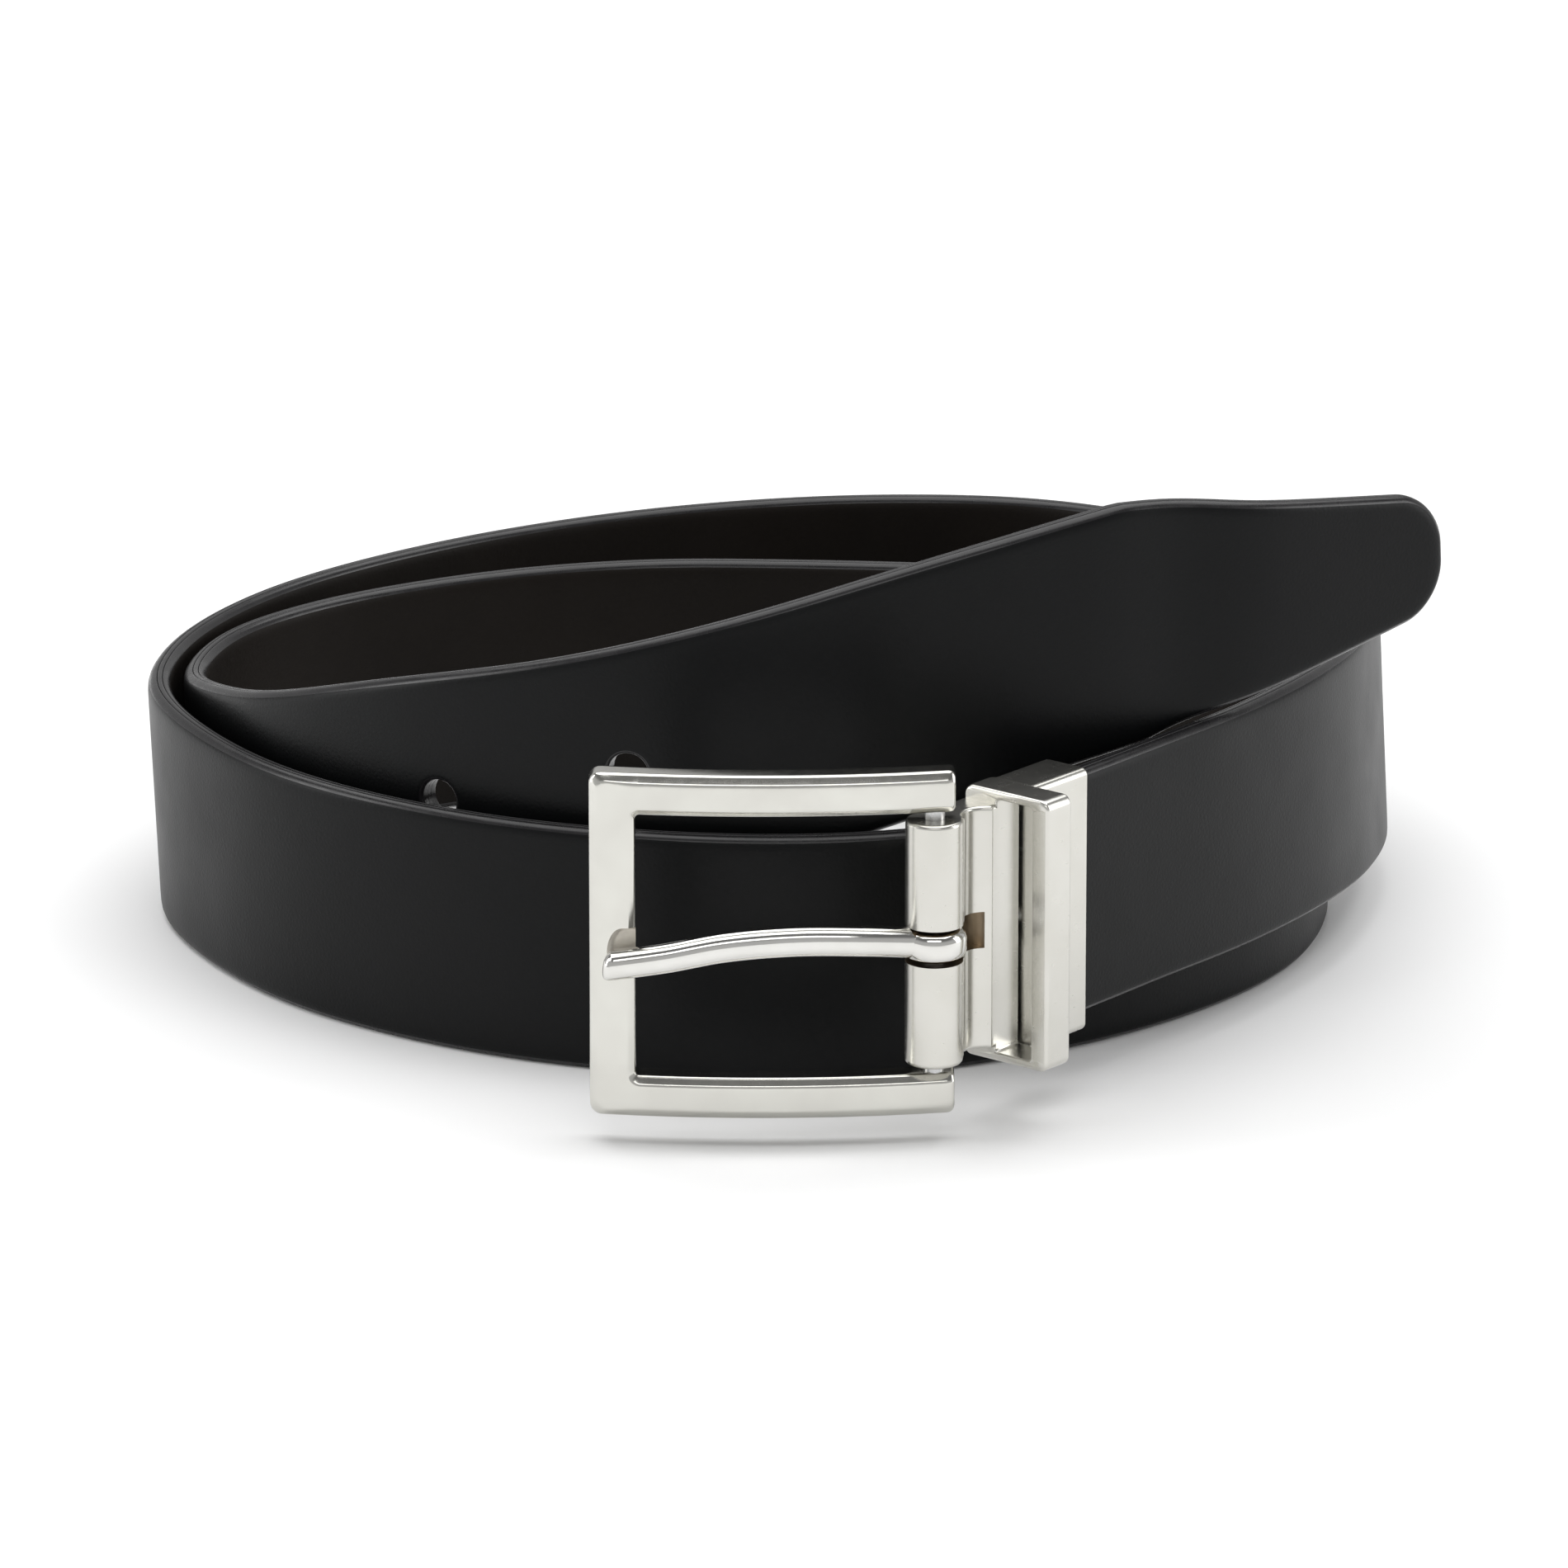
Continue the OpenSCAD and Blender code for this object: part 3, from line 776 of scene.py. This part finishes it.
def build_frame():
    path = frame_path()
    first = path[0]
    starts = []
    for along, pull in ARM_ENDS:
        x = first[0][0] + along
        starts.append(((x, first[0][1] - pull * CORNER_PULL), (x, first[1][1] + pull), pull))
    ends = [((o[0], -o[1]), (i[0], -i[1]), p) for o, i, p in starts[::-1]]
    rings = []
    for outer, inner, pull in starts + [(o, i, 0.0) for o, i in path[1:-1]] + ends:
        o, i = np.array(outer), np.array(inner)
        width = np.linalg.norm(i - o)
        q = (i - o) / width
        limit = FRAME_T / 2 - pull
        ring = []
        for a, d in frame_section(width):
            p = o + q * a
            ring.append(bowed(p[0], p[1], max(-limit, min(limit, d))))
        rings.append(ring)
    points, faces = loft(rings)
    obj = make_object("buckle_frame_visual", on_frame(points), faces, (SATIN, ROUGH))
    combine(obj, notch_cutter())
    finish_piece(obj, "frame", "satin_nickel", "buckle_frame", sharp_deg=32, weighted=True)


# ---------------------------------------------------------------- hinge pieces

PIN_Y = PIN[1] - AXIS[1]
PIN_R = 1.2
BORE_R = 1.25
BARREL_R = 3.4
BARREL_Z = 14.8
SLOT_Z = -0.2
PRONG_R = 1.8
SLOT_HALF = PRONG_R + 0.4
EYE_R = 3.8


def build_pin():
    low, high = box_mm("cross_pin")
    half = (high[2] - low[2]) / 2
    profile = [(-half, 0), (-half, PIN_R - 0.25), (-half + 0.25, PIN_R), (half - 0.25, PIN_R),
               (half, PIN_R - 0.25), (half, 0)]
    shape = revolve(profile, "z", 48)
    points, faces = shifted(shape, (0, PIN_Y, 0))
    obj = make_object("cross_pin_visual", on_axis(points), faces, (STEEL,))
    finish_piece(obj, "frame", "bare_steel", "cross_pin")


PRONG_LEN = 38.4
PRONG_LINE = [(0, 0, 0), (3, -1.4, 0.4), (8, -2.9, 1), (16, -4.2, 1.4), (24, -4.8, 0.9),
              (31, -4.9, -0.4), (PRONG_LEN - 1.2, -4.85, -1.3)]
# The tip's rings: distance past the line's end, and share of the prong's radius
PRONG_TIP = [(0.35, 0.97), (0.65, 0.9), (0.9, 0.78), (1.08, 0.6), (1.17, 0.36), (1.2, 0.12)]
TIP_SLANT = -0.28
SQUARENESS = 2.3  # 2 is a round section, more is squarer


def prong_curve(step=0.6):
    knots = np.array(PRONG_LINE, float)
    last = len(knots) - 1
    out = []
    for i in range(last):
        a, b, c, d = knots[max(i - 1, 0)], knots[i], knots[i + 1], knots[min(i + 2, last)]
        n = math.ceil(np.linalg.norm(c - b) / step)
        out += [curve_through(a, b, c, d, j / n) for j in range(n)]
    out.append(knots[last])
    return np.array(out)


def build_prong():
    line = prong_curve()
    t = np.gradient(line, axis=0)
    t /= np.linalg.norm(t, axis=1)[:, None]
    sides = 40
    rings = []

    def ring(centre, direction, radius_side, radius_up, slant=0.0):
        side = np.cross(direction, [0, 0, 1])
        side /= np.linalg.norm(side)
        up = np.cross(side, direction)
        out = []
        for k in range(sides):
            a = 2 * math.pi * k / sides
            c, s = math.cos(a), math.sin(a)
            shape = 1.0 / (abs(c) ** SQUARENESS + abs(s) ** SQUARENESS) ** (1 / SQUARENESS)
            p = centre + side * c * shape * radius_side + up * s * shape * radius_up
            out.append(tuple(p + direction * slant * s * radius_up))
        return out

    for p, d in zip(line, t):
        along = p[0] / PRONG_LEN
        slim = PRONG_R * (1.0 - 0.04 * along)
        rings.append(ring(p, d, slim * 0.97, slim))
    end, d = line[-1], t[-1]
    for step, share in PRONG_TIP:
        rings.append(ring(end + d * step, d, PRONG_R * 0.93 * share, PRONG_R * 0.96 * share,
                          TIP_SLANT))
    points, faces = loft(rings)
    points = [(p[0], p[1], p[2] + SLOT_Z) for p in points]
    bar = make_object("prong_visual", on_frame(points), faces, (POLISHED,))
    r_in, r_out, half = BORE_R, EYE_R, PRONG_R
    section = [(-half, r_in + 0.2), (-half, r_out - 1.1), (-half * 0.93, r_out - 0.6),
               (-half * 0.72, r_out - 0.2), (-half * 0.4, r_out), (half * 0.4, r_out),
               (half * 0.72, r_out - 0.2), (half * 0.93, r_out - 0.6), (half, r_out - 1.1),
               (half, r_in + 0.2), (half - 0.2, r_in), (-half + 0.2, r_in)]
    points, faces = shifted(revolve(section, "z", 64), (0, 0, SLOT_Z))
    eye = make_object("eye", on_frame(points), faces, (POLISHED,))
    combine(bar, eye, "UNION")
    points, faces = shifted(cylinder(-3, 3, BORE_R, "z"), (0, 0, SLOT_Z))
    combine(bar, make_object("bore", on_frame(points), faces, (POLISHED,)))
    finish_piece(bar, "prong", "polished_nickel", "prong", sharp_deg=40)


# ---------------------------------------------------------------- keeper block

KEEPER_X0 = 8.6
KEEPER_X1 = 13.1
BLOCK_FRONT = -1.5
BLOCK_BACK = 3.3
GAP_Y = -6.8
WALL_Y = -9.2
LOOP_IN = 15.4
LOOP_OUT = 16.5
NECK = (5.2, -2.9, 2.8)  # the groove's centre and radius
SLOT_DEEP = 3.4


def barrel_outline():
    """The casting's outline in plan: barrel, grooved neck and block."""
    nx, ny, nr = NECK
    out = [(9.0, BLOCK_FRONT), (8.4, BLOCK_FRONT), (8.0, BLOCK_FRONT)]
    for deg in np.linspace(26, 150, 15):
        t = math.radians(deg)
        out.append((nx + nr * math.cos(t), ny + nr * math.sin(t)))
    for deg in np.linspace(-41, -308, 44):
        t = math.radians(deg)
        out.append((BARREL_R * math.cos(t), PIN_Y + BARREL_R * math.sin(t)))
    out += [(3.2, BLOCK_BACK), (6.0, BLOCK_BACK), (9.0, BLOCK_BACK)]
    return np.array(out)


def pulled_in(outline, inset):
    nxt, prv = np.roll(outline, -1, axis=0), np.roll(outline, 1, axis=0)
    tangent = nxt - prv
    tangent /= np.linalg.norm(tangent, axis=1)[:, None]
    area = 0.5 * np.sum(outline[:, 0] * nxt[:, 1] - nxt[:, 0] * outline[:, 1])
    sign = 1 if area > 0 else -1
    normal = np.stack([tangent[:, 1], -tangent[:, 0]], axis=1) * sign
    return outline - normal * inset


def build_keeper():
    outline = barrel_outline()
    rings = []
    for z, inset in [(-BARREL_Z, 0.42), (-BARREL_Z + 0.1, 0.2), (-BARREL_Z + 0.3, 0.05),
                     (-BARREL_Z + 0.55, 0), (BARREL_Z - 0.55, 0), (BARREL_Z - 0.3, 0.05),
                     (BARREL_Z - 0.1, 0.2), (BARREL_Z, 0.42)]:
        rings.append([(x, y, z) for x, y in pulled_in(outline, inset)])
    points, faces = loft(rings)
    block = make_object("keeper_visual", on_axis(points), faces, (CASTING, SLOT_SHADE, STEEL))

    rings = []
    edge = [(0.0, 0.4), (0.08, 0.2), (0.22, 0.06), (0.45, 0.0)]
    outer = [(KEEPER_X0 + a, i) for a, i in edge] + [(KEEPER_X1 - a, i) for a, i in edge[::-1]]
    for x, inset in outer:
        rings.append([(x, y, z) for y, z in
                      rounded_rect(WALL_Y, BLOCK_BACK, -LOOP_OUT, LOOP_OUT, 1.2, inset)])
    inner = [(KEEPER_X1, -0.2), (KEEPER_X1 - 0.08, -0.08), (KEEPER_X1 - 0.25, 0),
             (KEEPER_X0 + 0.25, 0), (KEEPER_X0 + 0.08, -0.08), (KEEPER_X0, -0.2)]
    for x, inset in inner:
        rings.append([(x, y, z) for y, z in
                      rounded_rect(GAP_Y, BLOCK_FRONT, -LOOP_IN, LOOP_IN, 0.4, inset)])
    points, faces = loft(rings, closed=True)
    combine(block, make_object("loop", on_axis(points), faces, (CASTING,)), "UNION")

    slot = shifted(cylinder(SLOT_Z - SLOT_HALF, SLOT_Z + SLOT_HALF, EYE_R + 0.4, "z"),
                   (SLOT_DEEP, PIN_Y, 0))
    combine(block, make_object("slot", on_axis(slot[0]), slot[1], (SLOT_SHADE,)))
    mouth = box_points((-7, -7, SLOT_Z - SLOT_HALF), (SLOT_DEEP, 7, SLOT_Z + SLOT_HALF))
    combine(block, make_object("mouth", on_axis(mouth[0]), mouth[1], (SLOT_SHADE,)))
    bore = shifted(cylinder(-20, 20, BORE_R, "z"), (0, PIN_Y, 0))
    combine(block, make_object("bore", on_axis(bore[0]), bore[1], (STEEL,)))
    socket = cylinder(KEEPER_X0 + 0.4, KEEPER_X1 + 1, PIN_R, "x")
    combine(block, make_object("socket", on_axis(socket[0]), socket[1], (STEEL,)))
    soften(block, 0.16)
    finish_piece(block, "swivel", "satin_nickel", "keeper_block", sharp_deg=34, weighted=True)


# ---------------------------------------------------------------- clamp and swivel

CLAMP_X0 = 13.5
CLAMP_X1 = 23.7
CLAMP_Y = 3.3
CLAMP_Z = 16.1
END_WALL = 1.2
SLOT_X0 = CLAMP_X0 + 1.9
SLOT_Y0 = -1.55
SLOT_Y1 = 2.2
CAVITY_Z = 15.2
BOSS_R = 3.1
BOSS_BORE_R = 2.4
BOSS_X1 = CLAMP_X1 - 0.9
SCREW_X = CLAMP_X0 + 6
SCREW_Z = 10.0
SCREW_R = 1.1


def build_clamp():
    rings = []
    edge = [(0.0, 0.34), (0.07, 0.17), (0.2, 0.05), (0.4, 0.0)]
    outer = [(CLAMP_X0 + a, i) for a, i in edge] + [(CLAMP_X1 - a, i) for a, i in edge[::-1]]
    for x, inset in outer:
        rings.append([(x, y, z) for y, z in
                      rounded_rect(-CLAMP_Y, CLAMP_Y, -CLAMP_Z, CLAMP_Z, 0.9, inset)])
    points, faces = loft(rings)
    obj = make_object("clamp_visual", on_axis(points), faces, (CASTING, ROUGH))
    cavity = box_points((SLOT_X0, SLOT_Y0, -CAVITY_Z), (CLAMP_X1 + 1, SLOT_Y1 + 0.05, CAVITY_Z))
    cavity = make_object("cavity", on_axis(cavity[0]), cavity[1], (ROUGH,))
    boss = cylinder(SLOT_X0 - 1, BOSS_X1, BOSS_R, "x")
    combine(cavity, make_object("boss", on_axis(boss[0]), boss[1], (ROUGH,)))
    combine(obj, cavity)
    for start, end, radius in [(CLAMP_X0 - 1, CLAMP_X1, BORE_R),
                               (CLAMP_X0 + END_WALL, CLAMP_X1 + 1, BOSS_BORE_R)]:
        bore = cylinder(start, end, radius, "x")
        combine(obj, make_object("bore", on_axis(bore[0]), bore[1], (ROUGH,)))
    for z in (-SCREW_Z, SCREW_Z):
        points, faces = cylinder(0, 10, SCREW_R, "x")
        turned = [(SCREW_X + b, a, z + c) for a, b, c in points]
        combine(obj, make_object("screw_hole", on_axis(turned), faces, (ROUGH,)))
    soften(obj, 0.1)
    finish_piece(obj, "belt", "satin_nickel", "clamp_housing", sharp_deg=34, weighted=True)


def build_screws():
    start, end = 2.2, CLAMP_Y - 0.2
    profile = [(start, 0), (start, SCREW_R), (end - 0.15, SCREW_R), (end, SCREW_R - 0.15), (end, 0)]
    shapes = None
    for z in (-SCREW_Z, SCREW_Z):
        points, faces = revolve(profile, "x", 40)
        turned = [(SCREW_X + b, a, z + c) for a, b, c in points]
        screw = make_object("clamp_screws_visual", on_axis(turned), faces, (STEEL,))
        slot = box_points((SCREW_X - 2, end - 0.5, z - 0.22), (SCREW_X + 2, end + 1, z + 0.22))
        combine(screw, make_object("slot", on_axis(slot[0]), slot[1], (STEEL,)))
        if shapes is None:
            shapes = screw
        else:
            combine(shapes, screw, "UNION")
    finish_piece(shapes, "belt", "bare_steel", "clamp_screws")


POST_X0 = KEEPER_X0 + 0.4
POST_X1 = 22.0
GROOVE_X = POST_X1 - 1.4
GROOVE_W = 0.6
GROOVE_R = 0.8


def build_post():
    profile = [(POST_X0, 0), (POST_X0, PIN_R), (GROOVE_X, PIN_R), (GROOVE_X, GROOVE_R),
               (GROOVE_X + GROOVE_W, GROOVE_R), (GROOVE_X + GROOVE_W, PIN_R),
               (POST_X1 - 0.25, PIN_R), (POST_X1, PIN_R - 0.25), (POST_X1, 0)]
    points, faces = revolve(profile, "x", 48)
    obj = make_object("swivel_post_visual", on_axis(points), faces, (STEEL,))
    finish_piece(obj, "swivel", "bare_steel", "swivel_post")

    washer = [(GROOVE_X - 0.4, BORE_R), (GROOVE_X - 0.4, 2.15), (GROOVE_X - 0.35, 2.2),
              (GROOVE_X - 0.05, 2.2), (GROOVE_X, 2.15), (GROOVE_X, BORE_R)]
    points, faces = revolve(washer, "x", 48)
    obj = make_object("spring_washer_visual", on_axis(points), faces, (STEEL,))
    finish_piece(obj, "spring_seat", "bare_steel", "spring_washer")

    a, b = GROOVE_X + 0.05, GROOVE_X + 0.55
    clip = [(a, 0.85), (a, 1.95), (a + 0.06, 2.0), (b - 0.06, 2.0), (b, 1.95), (b, 0.85)]
    points, faces = revolve(clip, "x", 48, gap_deg=60)
    turned = [(x, z, y) for x, y, z in points]
    obj = make_object("post_retainer_visual", on_axis(turned), faces, (STEEL,))
    finish_piece(obj, "swivel", "bare_steel", "post_retainer")


WIRE_R = 0.225
COIL_R = 1.8
COIL_TURNS = 5


def build_spring():
    x0 = CLAMP_X0 + END_WALL + WIRE_R + 0.05
    x1 = GROOVE_X - 0.4 - WIRE_R - 0.05
    steps = 28 * COIL_TURNS
    angle = 2 * math.pi * COIL_TURNS * np.arange(steps + 1) / steps
    line = np.stack([np.linspace(x0, x1, steps + 1), COIL_R * np.cos(angle),
                     COIL_R * np.sin(angle)], axis=1)
    t = np.gradient(line, axis=0)
    t /= np.linalg.norm(t, axis=1)[:, None]
    rings = []
    for p, d in zip(line, t):
        out = np.array([0, p[1], p[2]]) / COIL_R
        side = np.cross(d, out)
        rings.append([tuple(p + WIRE_R * (math.cos(a) * out + math.sin(a) * side))
                      for a in 2 * math.pi * np.arange(12) / 12])
    points, faces = loft(rings)
    obj = make_object("return_spring_visual", on_axis(points), faces, (STEEL,))
    finish_piece(obj, "belt", "bare_steel", "return_spring")
    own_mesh(obj)


def dress_cad_nodes():
    """The toothed plates inside the clamp stay as the frame has them."""
    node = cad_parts["grip_plate"]
    node.data.materials.clear()
    node.data.materials.append(STEEL)


# ---------------------------------------------------------------- floor, lights, camera

TARGET = COIL + np.array([-3.09, -2.54, 15.0])
AZIMUTH = -50.5
ELEVATION = 17
DISTANCE = 1500.0
LENS = 279.1
FLOOR_HALF = 6000.0

# Brightness of the sky by height, from straight down to straight up
SKY = [(0.0, 0.55), (0.38, 0.5), (0.62, 0.16), (0.9, 0.2), (1.0, 0.3)]

# Name, azimuth, elevation, distance and size in metres, power in watts
LIGHTS = [("overhead", 129.5, 76, 2.3, (3.2, 3.0), 69),
          ("front", -50.5, 38, 1.8, (1.4, 0.4), 4),
          ("left", -140, 20, 1.3, (0.5, 0.9), 5),
          ("right", 40, 18, 1.3, (0.5, 0.9), 5)]
AIM = (0, 0, 0.03)


def towards(azimuth_deg, elevation_deg):
    a, e = math.radians(azimuth_deg), math.radians(elevation_deg)
    return Vector((math.sin(a) * math.cos(e), -math.cos(a) * math.cos(e), math.sin(e)))


def build_camera():
    data = bpy.data.cameras.new("camera")
    data.lens = LENS
    data.sensor_width = 36
    data.clip_start, data.clip_end = 0.05, 50
    cam = bpy.data.objects.new("camera", data)
    bpy.context.scene.collection.objects.link(cam)
    back = towards(AZIMUTH, ELEVATION)
    cam.location = Vector(TARGET * MM) + back * DISTANCE * MM
    cam.rotation_mode = "QUATERNION"
    cam.rotation_quaternion = (-back).to_track_quat("-Z", "Y")
    bpy.context.scene.camera = cam


def build_floor():
    n = Nodes("pale_floor")
    n.set(Roughness=0.9, Specular_IOR_Level=0.1, Base_Color=(0.93, 0.93, 0.93, 1))
    half = FLOOR_HALF
    points = [(-half, -half, 0), (half, -half, 0), (half, half, 0), (-half, half, 0)]
    floor = make_object("floor", points, [(0, 1, 2, 3)], (n.material,))


def soft_light(name, azimuth, elevation, distance, size, power):
    data = bpy.data.lights.new(name, "AREA")
    data.shape = "RECTANGLE"
    data.size, data.size_y = size
    data.energy = power
    light = bpy.data.objects.new(name, data)
    bpy.context.scene.collection.objects.link(light)
    direction = towards(azimuth, elevation)
    light.location = Vector(AIM) + direction * distance
    light.rotation_mode = "QUATERNION"
    light.rotation_quaternion = direction.to_track_quat("Z", "Y")


def build_lights():
    world = bpy.data.worlds.new("world")
    bpy.context.scene.world = world
    world.use_nodes = True
    sky = world.node_tree.nodes["Background"]
    coords = world.node_tree.nodes.new("ShaderNodeTexCoord")
    parts = world.node_tree.nodes.new("ShaderNodeSeparateXYZ")
    ramp = world.node_tree.nodes.new("ShaderNodeValToRGB")
    while len(ramp.color_ramp.elements) < len(SKY):
        ramp.color_ramp.elements.new(0.5)
    for stop, (at, value) in zip(ramp.color_ramp.elements, SKY):
        stop.position = at
        stop.color = (value, value, value, 1)
    world.node_tree.links.new(coords.outputs["Generated"], parts.inputs[0])
    world.node_tree.links.new(parts.outputs["Z"], ramp.inputs[0])
    world.node_tree.links.new(ramp.outputs["Color"], sky.inputs["Color"])
    sky.inputs["Strength"].default_value = 1.0
    for light in LIGHTS:
        soft_light(*light)
    bpy.context.scene.view_settings.view_transform = "Standard"


build_floor()
build_lights()
build_camera()
build_strap()
build_frame()
build_pin()
build_prong()
build_keeper()
build_clamp()
build_screws()
build_post()
build_spring()
dress_cad_nodes()
